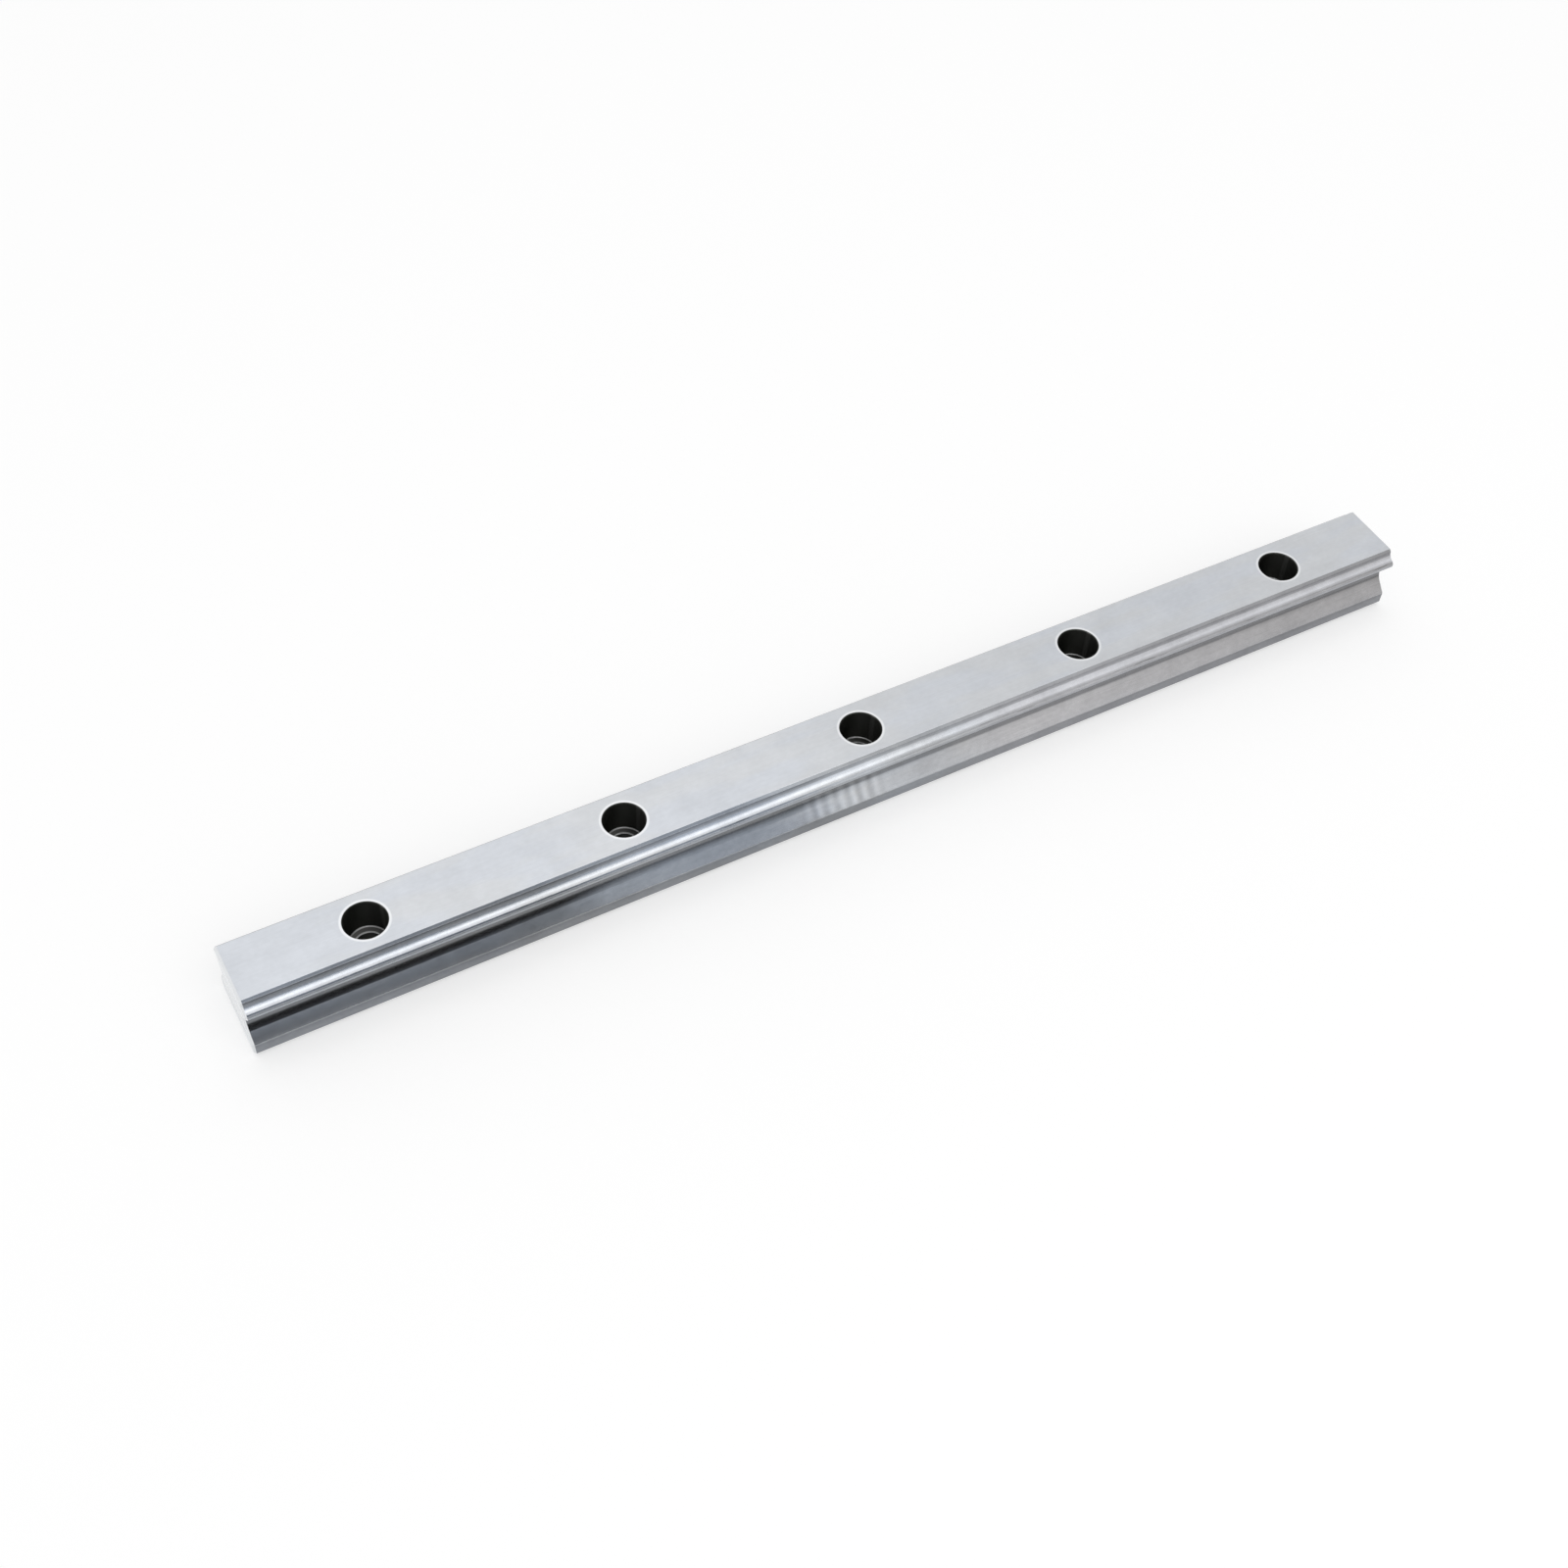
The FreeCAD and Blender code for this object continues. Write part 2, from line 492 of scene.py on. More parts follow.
@dataclass(frozen=True)
class GroundSurface:
    """The small unevenness of ground steel, in brightness, hue and relief.

    Args:
        cloud: long soft clouds.
        spread: shorter clouds between them.
        mottle: a small mottle.
        lines: lengthwise grinding lines.
        scratches: the finest lengthwise scratches.
        spread_share: share of the shorter clouds among the clouds.
        mottle_share: share of the mottle beside the clouds.
        lines_share: share of the lines beside both.
        side_contrast: how strong the whole is on the sides.
        land_contrast: how strong it is on the top land.
        patches: where the steel looks cooler.
        patch_edge: values of that pattern between which a patch begins.
        cool_end: places along the rail between which the steel gets cooler, towards its left.
        cool_hue: what the cooler steel's colour is multiplied by.
        plain_part: places along the rail between which the sides get plainer, towards its right.
        plain_hue: what their colour is multiplied by there.
        line_depth: how deep the lines are.
        scratch_depth: how deep the scratches are.
    """

    cloud: Pattern = Pattern((0.03, 0.12, 0.12), 3.0)
    spread: Pattern = Pattern((0.17, 0.14, 0.14), 1.0)
    mottle: Pattern = Pattern((0.7, 1.1, 1.1), 3.0)
    lines: Pattern = Pattern((0.035, 7.0, 7.0), 4.0)
    scratches: Pattern = Pattern((0.15, 22.0, 22.0), 2.0)
    spread_share: float = 0.5
    mottle_share: float = 0.32
    lines_share: float = 0.25
    side_contrast: float = 1.00
    land_contrast: float = 0.50
    patches: Pattern = Pattern((0.04, 0.16, 0.16), 2.0)
    patch_edge: Span = (0.40, 0.62)
    cool_end: Span = (-110.0, -142.0)
    cool_hue: Colour = (0.986, 1.0, 1.028)
    plain_part: Span = (15.0, 40.0)
    plain_hue: Colour = (1.017, 1.0, 1.010)
    line_depth: float = 0.0004
    scratch_depth: float = 0.0003

    def brightness(self, bench: NodeBench, place: RailPlace) -> Socket:
        """How much brighter or darker than its finish the steel is.

        Args:
            bench: where the nodes go.
            place: the place on the rail.

        Returns:
            The factor, about 1.
        """
        clouds = bench.blend(self.spread_share, bench.noise(place.point, self.cloud),
                             bench.noise(place.point, self.spread))
        tone = bench.blend(self.mottle_share, clouds, bench.noise(place.point, self.mottle))
        tone = bench.blend(self.lines_share, tone, bench.noise(place.point, self.lines))
        contrast = bench.blend(place.on_land, self.side_contrast, self.land_contrast)
        return bench.total(1.0, bench.product(bench.difference(tone, NOISE_MIDDLE), contrast))

    def hue(self, bench: NodeBench, place: RailPlace) -> Socket:
        """What the steel's colour is multiplied by.

        Args:
            bench: where the nodes go.
            place: the place on the rail.

        Returns:
            The colour, near white.
        """
        patch = bench.step(bench.noise(place.point, self.patches), self.patch_edge)
        cooler = bench.total(patch, bench.step(place.x, self.cool_end), clamp=True)
        hue = bench.mix(cooler, WHITE, opaque(self.cool_hue))
        on_side = bench.opposite(place.on_land)
        plain = bench.product(bench.step(place.x, self.plain_part), on_side)
        return bench.mix(plain, hue, opaque(self.plain_hue))

    def relief(self, bench: NodeBench, place: RailPlace) -> Socket:
        """The height of the grinding lines and scratches.

        Args:
            bench: where the nodes go.
            place: the place on the rail.

        Returns:
            The height.
        """
        lines = bench.product(bench.noise(place.point, self.lines), self.line_depth)
        scratches = bench.product(bench.noise(place.point, self.scratches), self.scratch_depth)
        return bench.total(lines, scratches)


@dataclass(frozen=True)
class Nicks:
    """Short dark nicks along the ear's upper edge.

    Args:
        spots: the pattern whose peaks are the nicks.
        peak: values of that pattern between which a nick begins.
        lower: heights between which the nicks set in.
        upper: heights between which they die out.
        strength: how much of the steel's colour they hide.
        colour: their linear colour.
    """

    spots: Pattern = Pattern((0.18, 2.6, 2.6), 1.0)
    peak: Span = (0.62, 0.68)
    lower: Span = (14.35, 14.5)
    upper: Span = (14.75, 14.9)
    strength: float = 0.45
    colour: Colour = (0.034, 0.036, 0.031)

    def over(self, bench: NodeBench, place: RailPlace, colour: Socket) -> Socket:
        """Put the nicks on the steel.

        Args:
            bench: where the nodes go.
            place: the place on the rail.
            colour: the steel's colour.

        Returns:
            The colour with the nicks.
        """
        spots = bench.step(bench.noise(place.point, self.spots), self.peak)
        edge = bench.window(place.z, self.lower, self.upper)
        amount = bench.product(spots, edge, self.strength)
        return bench.mix(amount, colour, opaque(self.colour))


@dataclass(frozen=True)
class HolePlace:
    """The shaded place seen from the nearest screw hole.

    Args:
        along: along the rail from the hole's axis.
        reach: distance from the axis.
        inside: 1 within the hole's mouth, else 0.
    """

    along: Socket
    reach: Socket
    inside: Socket


@dataclass(frozen=True)
class ScrewHoles:
    """The row of screw holes: rims and shoulder edges in painted highlight, walls and shoulder in
    painted shade.

    Args:
        pitch: from one hole to the next; the middle one stands in the rail's middle.
        mouth_radius: the counterbore's chamfered mouth on the top land.
        counterbore_radius: the counterbore's wall.
        screw_radius: the clearance hole's wall.
        shoulder_height: the counterbore's floor above the mounting face.
        wall_shade_colour: linear colour of the holes' walls, darkened as painted shade.
        shoulder_shade_colour: linear colour of the shoulder in painted shade and of the walls'
            paler side.
        painted_highlight_colour: linear colour of the painted highlights on the rims and on the
            shoulder's edges.
        rim_width: width of a rim around the mouth.
        rim_fade: how far before and after the rim's outer edge it fades.
        rim_highlight_strength: how much of the land's colour the rims' painted highlight hides.
        mouth_seam: how far inside the mouth the hole's own colour and roughness begin.
        base_seam: heights above the mounting face between which it begins.
        wall_roughness: roughness of the walls.
        light_side: direction along and across the rail in which the walls are painted paler, as
            lit.
        pale_turn: cosines of the angle from that direction between which they get paler.
        pale_share: how much paler they get.
        reflection_streak_turn: cosines between which a narrow painted reflection, a streak in that
            direction, begins.
        reflection_streak_share: how much paler that painted streak is.
        shoulder_fade: distances from the shoulder's height between which its colour ends.
        inner_edge: distances outside the clearance hole between which its painted highlight ends.
        outer_edge: distances from the counterbore's wall between which its painted highlight
            begins.
        outer_share: how bright the outer edge is beside the inner one.
        edge_highlight_strength: how much of the shoulder's colour the painted highlights at both
            edges hide.
    """

    pitch: float = 60.0
    mouth_radius: float = 5.0
    counterbore_radius: float = 4.75
    screw_radius: float = 3.0
    shoulder_height: float = 9.0
    wall_shade_colour: Colour = (0.034, 0.036, 0.031)
    shoulder_shade_colour: Colour = (0.14, 0.14, 0.135)
    painted_highlight_colour: Colour = (0.86, 0.87, 0.88)
    rim_width: float = 0.45
    rim_fade: Span = (-0.15, 0.25)
    rim_highlight_strength: float = 0.65
    mouth_seam: float = 0.08
    base_seam: Span = (0.01, 0.05)
    wall_roughness: float = 0.40
    light_side: tuple[float, float] = (0.92, 0.39)
    pale_turn: Span = (0.3, 0.95)
    pale_share: float = 0.20
    reflection_streak_turn: Span = (0.985, 0.998)
    reflection_streak_share: float = 0.5
    shoulder_fade: Span = (0.12, 0.25)
    inner_edge: Span = (0.15, 0.45)
    outer_edge: Span = (-0.5, -0.25)
    outer_share: float = 0.55
    edge_highlight_strength: float = 0.6

    def nearest(self, bench: NodeBench, place: RailPlace) -> HolePlace:
        """Find the place's distance from the nearest hole.

        Args:
            bench: where the nodes go.
            place: the place on the rail.

        Returns:
            The place seen from that hole.
        """
        turn = bench.quotient(place.x, self.pitch)
        along = bench.product(bench.difference(turn, bench.math("ROUND", turn)), self.pitch)
        squares = [bench.math("POWER", bench.distance(way), 2.0) for way in (along, place.y)]
        reach = bench.math("SQRT", bench.total(*squares))
        seam = (self.mouth_radius - self.mouth_seam, self.mouth_radius)
        return HolePlace(along, reach, bench.opposite(bench.step(reach, seam, smooth=False)))

    def rim(self, bench: NodeBench, place: RailPlace, hole: HolePlace, colour: Socket) -> Socket:
        """Put the rims' painted highlights on the top land.

        Args:
            bench: where the nodes go.
            place: the place on the rail.
            hole: the same place seen from the nearest hole.
            colour: the steel's colour.

        Returns:
            The colour with the rims.
        """
        fade = moved(self.rim_fade, self.mouth_radius + self.rim_width)
        near = bench.opposite(bench.step(hole.reach, fade))
        amount = bench.product(near, place.on_land, self.rim_highlight_strength)
        # Painted highlight: a bright ring around each hole's mouth.
        return bench.mix(amount, colour, opaque(self.painted_highlight_colour))

    def wall(self, bench: NodeBench, place: RailPlace, hole: HolePlace) -> Socket:
        """The holes' walls in painted shade, painted paler towards the light, with a painted
        streak.

        Args:
            bench: where the nodes go.
            place: the place on the rail.
            hole: the same place seen from the nearest hole.

        Returns:
            The colour.
        """
        along, across = self.light_side
        towards = bench.total(bench.product(hole.along, along), bench.product(place.y, across))
        facing = bench.quotient(towards, hole.reach)
        # Painted light on the walls' side towards the light, and a painted streak of reflection.
        pale = bench.product(bench.step(facing, self.pale_turn), self.pale_share)
        streak = bench.product(bench.step(facing, self.reflection_streak_turn), self.reflection_streak_share)
        amount = bench.total(pale, streak)
        return bench.mix(amount, opaque(self.wall_shade_colour), opaque(self.shoulder_shade_colour))

    def shoulder(self, bench: NodeBench, place: RailPlace, hole: HolePlace,
                 colour: Socket) -> Socket:
        """Put the counterbore's shoulder in painted shade, with painted highlights at its two
        edges, in the holes.

        Args:
            bench: where the nodes go.
            place: the place on the rail.
            hole: the same place seen from the nearest hole.
            colour: the colour so far.

        Returns:
            The colour with the shoulder.
        """
        away = bench.distance(place.z, self.shoulder_height)
        shoulder = bench.product(bench.opposite(bench.step(away, self.shoulder_fade)), hole.inside)
        # Painted shade: the shoulder is darkened.
        colour = bench.mix(shoulder, colour, opaque(self.shoulder_shade_colour))
        inner_span = moved(self.inner_edge, self.screw_radius)
        outer_span = moved(self.outer_edge, self.counterbore_radius)
        inner = bench.opposite(bench.step(hole.reach, inner_span))
        outer = bench.product(bench.step(hole.reach, outer_span), self.outer_share)
        edges = bench.product(bench.total(inner, outer, clamp=True), shoulder, self.edge_highlight_strength)
        # Painted highlights at the shoulder's two edges.
        return bench.mix(edges, colour, opaque(self.painted_highlight_colour))

    def dress(self, bench: NodeBench, place: RailPlace, colour: Socket,
              roughness: Socket) -> tuple[Socket, Socket]:
        """Put the holes' roughness and their painted light and shade into the steel.

        Args:
            bench: where the nodes go.
            place: the place on the rail.
            colour: the steel's colour.
            roughness: the steel's roughness.

        Returns:
            The colour and the roughness with the holes.
        """
        hole = self.nearest(bench, place)
        colour = self.rim(bench, place, hole, colour)
        above_base = bench.step(place.z, self.base_seam, smooth=False)
        in_hole = bench.product(hole.inside, above_base)
        # Painted shade: the holes' walls are darkened.
        colour = bench.mix(in_hole, colour, self.wall(bench, place, hole))
        roughness = bench.blend(in_hole, roughness, self.wall_roughness)
        return self.shoulder(bench, place, hole, colour), roughness


@dataclass(frozen=True)
class RailSteel:
    """The rail's steel, with a finish for each surface of the section, its holes and its ends.

    Args:
        height: from the mounting face to the top land.
        half_length: from the middle to an end face.
        end_break: how far the break around an end face reaches along the rail.
        side_height: the datum side's upper edge above the mounting face.
        finishes_and_painted_light: the finish of each surface of the section, with painted light
            and shade in its colour.
        ground: the ground surface's unevenness.
        chatter: the chatter marks on the near flank.
        nicks: the nicks along the ears.
        holes: the screw holes' finish, with their painted shade and highlights.
        lit_end_colour: linear colour of the end faces and the break around them, painted paler as
            lit faces.
        end_seam: how far before that break the colour changes.
        ramp_margins: how far the ramps reach below the mounting face and above the top land.
        land_seam: heights from the top land between which the land's own finish begins.
        grain: how much more the steel spreads light across its lines than along them.
        grain_lift: a small upward turn, so that the end faces have a direction for it too.
        edge_rounding: how round the rail's edges look.
        side_edge_rounding: how round the datum side's upper edge looks.
        side_edge_fade: distances from that edge between which the one turns into the other.
        rounding_samples: how many rays look for an edge.
    """

    height: float = 17.5
    half_length: float = 150.0
    end_break: float = 0.4
    side_height: float = 4.15
    finishes_and_painted_light: dict[Region, SteelFinishAndPaintedLight] = field(default_factory=lambda: dict(FINISHES_AND_PAINTED_LIGHT))
    ground: GroundSurface = GroundSurface()
    chatter: Chatter = Chatter()
    nicks: Nicks = Nicks()
    holes: ScrewHoles = ScrewHoles()
    lit_end_colour: Colour = (0.76, 0.775, 0.79)
    end_seam: float = 0.05
    ramp_margins: tuple[float, float] = (0.5, 0.1)
    land_seam: Span = (-0.10, -0.05)
    grain: float = 0.85
    grain_lift: Point = (0.0, 0.0, 0.02)
    edge_rounding: float = 0.18
    side_edge_rounding: float = 0.32
    side_edge_fade: Span = (0.4, 0.6)
    rounding_samples: int = 4

    def over_height(self, bench: NodeBench, height: Socket,
                    shown: Callable[[SteelFinishAndPaintedLight], Opaque]) -> Socket:
        """One value of each surface as a ramp over the height; the colours hold painted light and
        shade.

        Args:
            bench: where the nodes go.
            height: height above the mounting face.
            shown: gives the value of a finish as a colour.

        Returns:
            The value as a colour.
        """
        below, above = self.ramp_margins
        stops = [(place, shown(finish)) for finish in self.finishes_and_painted_light.values()
                 for place in sorted({finish.low, finish.high})]
        return bench.ramp(height, (-below, self.height + above), stops)

    def ends(self, bench: NodeBench, place: RailPlace, colour: Socket) -> Socket:
        """Put the end faces and the break around them on the steel, painted paler as lit faces.

        Args:
            bench: where the nodes go.
            place: the place on the rail.
            colour: the steel's colour.

        Returns:
            The colour with the ends.
        """
        start = self.half_length - self.end_break
        at_end = bench.step(bench.distance(place.x), (start - self.end_seam, start), smooth=False)
        # Painted light: the end faces are paler than the steel.
        return bench.mix(at_end, colour, opaque(self.lit_end_colour))

    def normal(self, bench: NodeBench, place: RailPlace, wave: Socket) -> Socket:
        """The surface's direction, with rounded edges, lines and chatter marks.

        Args:
            bench: where the nodes go.
            place: the place on the rail.
            wave: the chatter marks.

        Returns:
            The direction.
        """
        relief = bench.total(self.ground.relief(bench, place),
                             bench.product(wave, self.chatter.depth))
        from_edge = bench.distance(place.z, self.side_height)
        rounding = bench.blend(bench.step(from_edge, self.side_edge_fade),
                               self.side_edge_rounding * MM, self.edge_rounding * MM)
        bevel = bench.add("ShaderNodeBevel", samples=self.rounding_samples)
        bench.join(rounding, bevel.inputs["Radius"])
        bump = bench.add("ShaderNodeBump")
        bump.inputs["Strength"].default_value = 1.0
        bump.inputs["Distance"].default_value = MM
        bench.join(relief, bump.inputs["Height"])
        bench.join(bevel.outputs[0], bump.inputs["Normal"])
        return bump.outputs[0]

    def grain_direction(self, bench: NodeBench) -> Socket:
        """The direction across the grinding lines, in the surface.

        Args:
            bench: where the nodes go.

        Returns:
            The direction.
        """
        along_rail = (1.0, 0.0, 0.0)
        outward = bench.add("ShaderNodeNewGeometry").outputs["Normal"]
        return bench.vector("ADD", bench.vector("CROSS_PRODUCT", outward, along_rail),
                            self.grain_lift)

    def material(self) -> bpy.types.Material:
        """Build the whole finish, with its painted light and shade.

        Returns:
            The material for the rail's one slot.
        """
        made, bench = NodeBench.on_material("ground_steel")
        place = RailPlace.read(bench, moved(self.land_seam, self.height))
        # The colour over the height holds each surface's painted light and shade.
        colour = self.over_height(bench, place.z, lambda finish: opaque(finish.colour))
        roughness = self.over_height(bench, place.z, lambda finish: grey(finish.roughness))

        wave = self.chatter.wave(bench, place)
        brightness = bench.total(self.ground.brightness(bench, place),
                                 bench.product(wave, self.chatter.contrast))
        hue = self.ground.hue(bench, place)
        colour = bench.vector("MULTIPLY", bench.scaled(colour, brightness), hue)
        colour = self.nicks.over(bench, place, colour)
        colour, roughness = self.holes.dress(bench, place, colour, roughness)
        colour = self.ends(bench, place, colour)

        shader = bench.add("ShaderNodeBsdfPrincipled")
        shader.inputs["Metallic"].default_value = 1.0
        shader.inputs["Anisotropic"].default_value = self.grain
        bench.join(colour, shader.inputs["Base Color"])
        bench.join(roughness, shader.inputs["Roughness"])
        bench.join(self.normal(bench, place, wave), shader.inputs["Normal"])
        bench.join(self.grain_direction(bench), shader.inputs["Tangent"])
        bench.finish(shader.outputs[0])
        return made


@dataclass
class GuideRail:
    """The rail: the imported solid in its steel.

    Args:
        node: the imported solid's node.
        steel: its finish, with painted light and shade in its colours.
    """

    node: str = NODE
    steel: RailSteel = field(default_factory=RailSteel)

    def dress(self) -> bpy.types.Object:
        """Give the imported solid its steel.

        Returns:
            The rail's object.
        """
        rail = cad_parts[self.node]
        made = self.steel.material()
        if not rail.material_slots:
            rail.data.materials.append(made)
        for slot in rail.material_slots:
            slot.material = made
        LOG.info("dressed %s, %d faces", rail.name, len(rail.data.polygons))
        return rail


@dataclass
class Floor:
    """A wide pale floor that shows white to the camera and keeps the rail's shadow.

    Args:
        half_width: half of its side.
        colour: its linear colour.
        glow: what it shines by itself near the rail.
        far_glow: what it shines where the lamps no longer reach.
        glow_reach: distances from the rail between which the one turns into the other.
    """

    half_width: float = 4.0
    colour: Colour = (0.60, 0.60, 0.60)
    glow: float = 0.48
    far_glow: float = 0.585
    glow_reach: Span = (0.4, 1.8)

    def material(self) -> bpy.types.Material:
        """The floor's matt paint with its glow.

        Returns:
            The material.
        """
        made, bench = NodeBench.on_material("pale_floor")
        matt = bench.add("ShaderNodeBsdfDiffuse")
        matt.inputs["Color"].default_value = opaque(self.colour)
        place = bench.add("ShaderNodeTexCoord").outputs["Object"]
        length = bench.add("ShaderNodeVectorMath", operation="LENGTH")
        bench.join(place, length.inputs[0])
        away = bench.step(length.outputs["Value"], self.glow_reach)
        strength = bench.blend(away, self.glow, self.far_glow)
        shine = bench.add("ShaderNodeEmission")
        shine.inputs["Color"].default_value = WHITE
        bench.join(bench.product(bench.seen_directly(), strength), shine.inputs["Strength"])
        both = bench.add("ShaderNodeAddShader")
        bench.join(matt.outputs[0], both.inputs[0])
        bench.join(shine.outputs[0], both.inputs[1])
        bench.finish(both.outputs[0])
        return made

    def build(self) -> bpy.types.Object:
        """Lay the floor.

        Returns:
            The floor's object.
        """
        bpy.ops.object.select_all(action="DESELECT")
        bpy.ops.mesh.primitive_plane_add(size=2 * self.half_width, location=(0, 0, 0))
        floor = bpy.context.active_object
        floor.name = "floor"
        floor.data.materials.append(self.material())
        LOG.info("laid %s, %.1f m wide", floor.name, 2 * self.half_width)
        return floor


@dataclass(frozen=True)
class Softbox:
    """A rectangular area lamp.

    Args:
        name: the lamp's name.
        place: its centre.
        target: the point that it faces.
        size: its width and height.
        radiance: the brightness of its face, where 1 is white.
    """

    name: str
    place: Point
    target: Point
    size: tuple[float, float]
    radiance: float

    def build(self) -> bpy.types.Object:
        """Hang the lamp.

        Returns:
            The lamp's object.
        """
        width, height = self.size
        data = bpy.data.lights.new(self.name, "AREA")
        data.shape = "RECTANGLE"
        data.size, data.size_y = self.size
        data.energy = self.radiance * math.pi * width * height
        lamp = bpy.data.objects.new(self.name, data)
        bpy.context.scene.collection.objects.link(lamp)
        aim = Vector(self.target) - Vector(self.place)
        turn = aim.to_track_quat("-Z", "Y").to_matrix().to_4x4()
        lamp.matrix_world = Matrix.Translation(Vector(self.place)) @ turn
        LOG.info("hung %s, radiance %.2f", self.name, self.radiance)
        return lamp


@dataclass(frozen=True)
class CardGlow:
    """How the front card shines at one place.

    Args:
        along: the place along the rail.
        level: its linear brightness.
        tint: how blue it is; below 0 it is warm.
    """

    along: float
    level: float
    tint: float


@dataclass(frozen=True)
class FrontCard:
    """The long card in front of the rail that its flank and its grooves reflect.

    It leans away from the rail, hangs a little above the floor and is seen in the steel alone.
    From one end to the other it goes from black through grey to white. Its lower part is darker.

    Args:
        near: the lower edge's distance in front of the rail's axis.
        far: the upper edge's distance.
        bottom: the lower edge's height.
        top: the upper edge's height.
        ends: where the card starts and ends along the rail.
        low: how its lower part shines, along the rail.
        high: how its upper part shines, along the rail.
        fade: heights between which the lower part turns into the upper one.
        fade_tilt: how much these heights sink for each millimetre along the rail.
        level_place: the place along the rail where they are as given.
        tilt_end: the place along the rail from which they stay the same.
    """

    near: float = 20.0
    far: float = 81.5
    bottom: float = 3.5
    top: float = 65.0
    ends: Span = (-152.0, 270.0)
    low: tuple[CardGlow, ...] = (
        CardGlow(-73.0, 0.008, 0.10),
        CardGlow(-58.0, 0.28, 0.13),
        CardGlow(-14.0, 0.28, 0.12),
        CardGlow(1.0, 0.94, 0.05),
        CardGlow(30.0, 0.92, 0.0),
        CardGlow(80.0, 0.85, 0.0),
        CardGlow(120.0, 0.70, -0.01),
        CardGlow(210.0, 0.52, -0.02),
    )
    high: tuple[CardGlow, ...] = (
        CardGlow(-136.0, 0.46, 0.13),
        CardGlow(-100.0, 0.34, 0.13),
        CardGlow(-73.0, 0.30, 0.13),
        CardGlow(-58.0, 0.63, 0.13),
        CardGlow(-14.0, 0.56, 0.12),
        CardGlow(1.0, 1.14, 0.05),
        CardGlow(8.0, 1.12, 0.03),
        CardGlow(24.0, 0.93, 0.0),
        CardGlow(48.0, 0.99, 0.0),
        CardGlow(68.0, 0.985, 0.0),
        CardGlow(84.0, 0.91, 0.0),
        CardGlow(210.0, 0.70, -0.02),
    )
    fade: Span = (10.5, 18.0)
    fade_tilt: float = 0.09
    level_place: float = -85.0
    tilt_end: float = -45.0

    def glow(self, bench: NodeBench, along: Socket, row: tuple[CardGlow, ...]) -> Socket:
        """The colour of one part of the card, from the places in its row."""
        stops = [(spot.along, opaque(cool(spot.level, spot.tint))) for spot in row]
        return bench.ramp(along, self.ends, stops)

    def material(self) -> bpy.types.Material:
        """The card's glow.

        Returns:
            The material.
        """
        made, bench = NodeBench.on_material("front_card")
        axes = bench.add("ShaderNodeSeparateXYZ")
        bench.join(bench.add("ShaderNodeTexCoord").outputs["Object"], axes.inputs[0])
        along = bench.quotient(axes.outputs["X"], MM)
        height = bench.quotient(axes.outputs["Z"], MM)
        tilted = bench.difference(bench.math("MINIMUM", along, self.tilt_end), self.level_place)
        raised = bench.total(height, bench.product(tilted, self.fade_tilt))
        colour = bench.mix(bench.step(raised, self.fade), self.glow(bench, along, self.low),
                           self.glow(bench, along, self.high))
        face = bench.add("ShaderNodeEmission")
        bench.join(colour, face.inputs["Color"])
        bench.finish(face.outputs[0])
        return made

    def build(self) -> bpy.types.Object:
        """Stand the card up, hidden from the camera, from diffuse light and from shadows.

        Returns:
            The card's object.
        """
        start, end = self.ends
        rise, lean = self.top - self.bottom, self.near - self.far
        middle = Vector((start + end, -self.near - self.far, self.bottom + self.top)) / 2
        turn = (math.atan2(rise, lean), 0.0, 0.0)
        bpy.ops.object.select_all(action="DESELECT")
        bpy.ops.mesh.primitive_plane_add(size=MM, location=middle * MM, rotation=turn)
        card = bpy.context.active_object
        card.name = "front_card"
        card.scale = (end - start, math.hypot(rise, lean), 1.0)
        bpy.ops.object.transform_apply(location=True, rotation=True, scale=True)
        card.data.materials.append(self.material())
        card.visible_camera = False
        card.visible_diffuse = False
        card.visible_shadow = False
        LOG.info("stood up %s, %.0f mm long", card.name, end - start)
        return card


def around(azimuth: float, elevation: float, distance: float) -> Point:
    """A point around the rail.

    Args:
        azimuth: from the near side (-Y) towards +X, in degrees.
        elevation: above the floor, in degrees.
        distance: from the origin.

    Returns:
        The point.
    """
    turn, rise = math.radians(azimuth), math.radians(elevation)
    level = distance * math.cos(rise)
    return (level * math.sin(turn), -level * math.cos(turn), distance * math.sin(rise))


@dataclass
class Studio:
    """The floor, the soft light, the front card and the white surroundings.

    Args:
        room_light: how bright the surroundings light the rail and the floor.
        floor: the floor.
        card: the front card.
        lamps: the lamps.
    """

    room_light: float = 0.70
    floor: Floor = field(default_factory=Floor)
    card: FrontCard = field(default_factory=FrontCard)
    lamps: tuple[Softbox, ...] = (
        Softbox("overhead_softbox", around(180.0, 85.0, 1.6), (0, 0, 0), (1.2, 1.2), 0.6),
        Softbox("front_softbox", around(5.0, 52.0, 1.3), (0, 0, 0.02), (1.0, 0.8), 0.72),
    )

    def surroundings(self) -> None:
        """Make a world that looks white and lights softly."""
        world = bpy.data.worlds.new("studio")
        world.use_nodes = True
        bench = NodeBench(world.node_tree)
        sky = bench.add("ShaderNodeBackground")
        sky.inputs["Color"].default_value = WHITE
        strength = bench.blend(bench.seen_directly(), self.room_light, 1.0)
        bench.join(strength, sky.inputs["Strength"])
        bench.finish(sky.outputs[0], "ShaderNodeOutputWorld")
        bpy.context.scene.world = world

    def build(self) -> None:
        """Set up everything around the rail."""
        self.surroundings()
        self.floor.build()
        self.card.build()
        for lamp in self.lamps:
            lamp.build()
        LOG.info("studio stands with %d lamps", len(self.lamps))


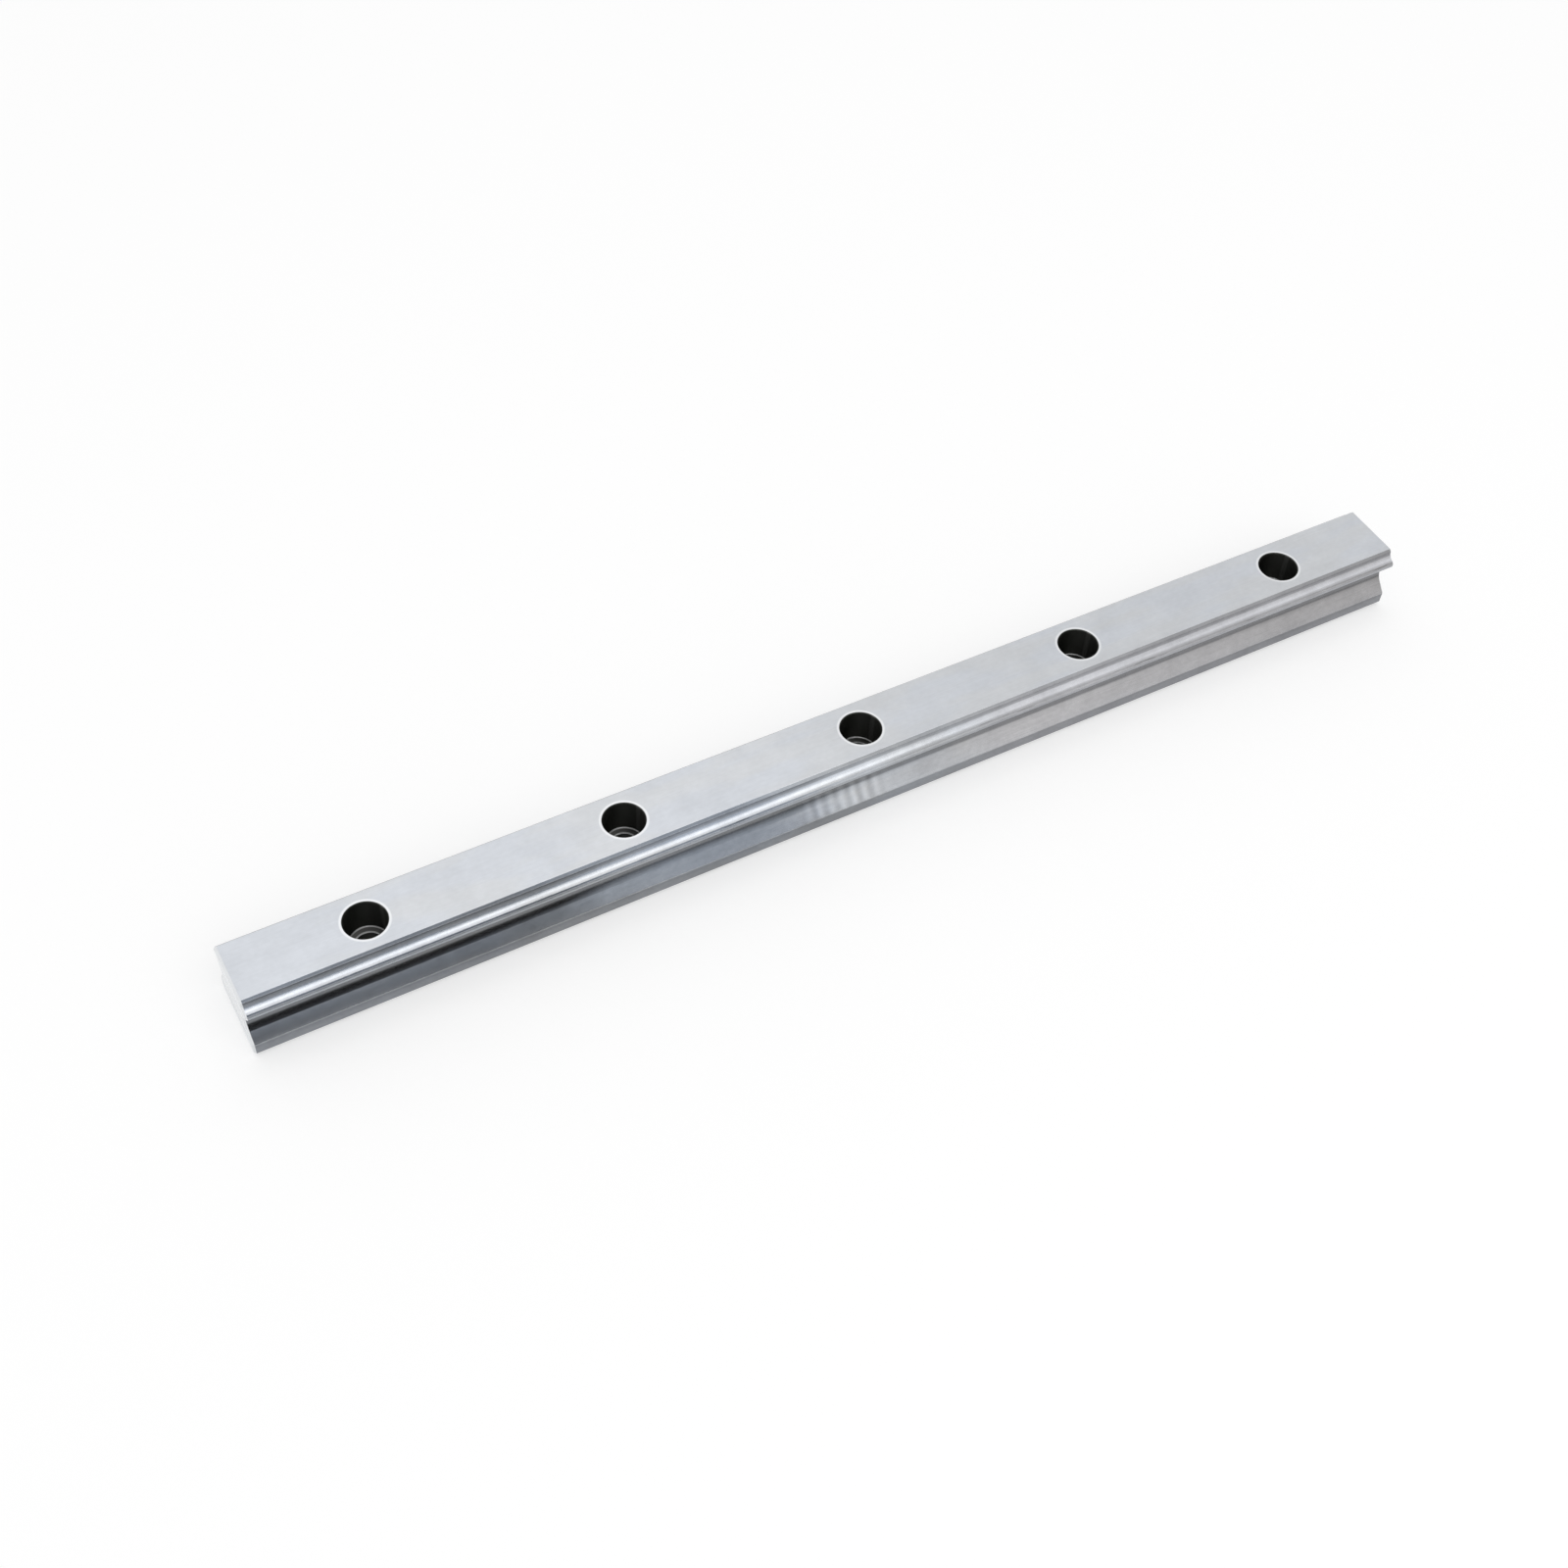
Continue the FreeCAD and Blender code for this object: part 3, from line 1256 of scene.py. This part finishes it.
@dataclass
class PhotoCamera:
    """The camera at the photograph's place and angle.

    Args:
        place: where it stands, in millimetres.
        azimuth: its heading from +Y towards +X, in degrees.
        down: how far it looks down, in degrees.
        roll: turn about its own line of sight, in degrees.
        focal_px: focal length in pixels of the photograph's frame.
        frame_px: width of that frame in pixels.
        sensor: width of the sensor, in millimetres.
        clip: nearest and farthest distance that it sees.
    """

    place: Point = (-182.02, -258.88, 374.41)
    azimuth: float = 32.115
    down: float = 50.166
    roll: float = 4.31
    focal_px: float = 2128.64
    frame_px: float = 1600.0
    sensor: float = 36.0
    clip: Span = (0.01, 50.0)

    def turned(self) -> Matrix:
        """Its place and direction.

        Returns:
            The camera's matrix.
        """
        azimuth, down, roll = (math.radians(a) for a in (self.azimuth, self.down, self.roll))
        ahead = Vector((
            math.sin(azimuth) * math.cos(down),
            math.cos(azimuth) * math.cos(down),
            -math.sin(down),
        ))
        level = Vector((math.cos(azimuth), -math.sin(azimuth), 0.0))
        upright = level.cross(ahead)
        right = math.cos(roll) * level + math.sin(roll) * upright
        up = math.cos(roll) * upright - math.sin(roll) * level
        return Matrix((
            (right.x, up.x, -ahead.x, self.place[0] * MM),
            (right.y, up.y, -ahead.y, self.place[1] * MM),
            (right.z, up.z, -ahead.z, self.place[2] * MM),
            (0.0, 0.0, 0.0, 1.0),
        ))

    def build(self) -> bpy.types.Object:
        """Place the camera and make it the scene's.

        Returns:
            The camera's object.
        """
        data = bpy.data.cameras.new("photo_camera")
        data.sensor_fit = "HORIZONTAL"
        data.sensor_width = self.sensor
        data.lens = self.focal_px * self.sensor / self.frame_px
        data.clip_start, data.clip_end = self.clip
        camera = bpy.data.objects.new("photo_camera", data)
        bpy.context.scene.collection.objects.link(camera)
        camera.matrix_world = self.turned()
        bpy.context.scene.camera = camera
        LOG.info("camera stands %.0f mm from the rail", Vector(self.place).length)
        return camera


def main() -> None:
    """Build the camera, the rail's finish and the studio in turn."""
    logging.basicConfig(level=logging.INFO, format="%(name)s: %(message)s")
    bpy.context.scene.view_settings.view_transform = "Standard"
    PhotoCamera().build()
    GuideRail().dress()
    Studio().build()


if __name__ == "__main__":
    main()
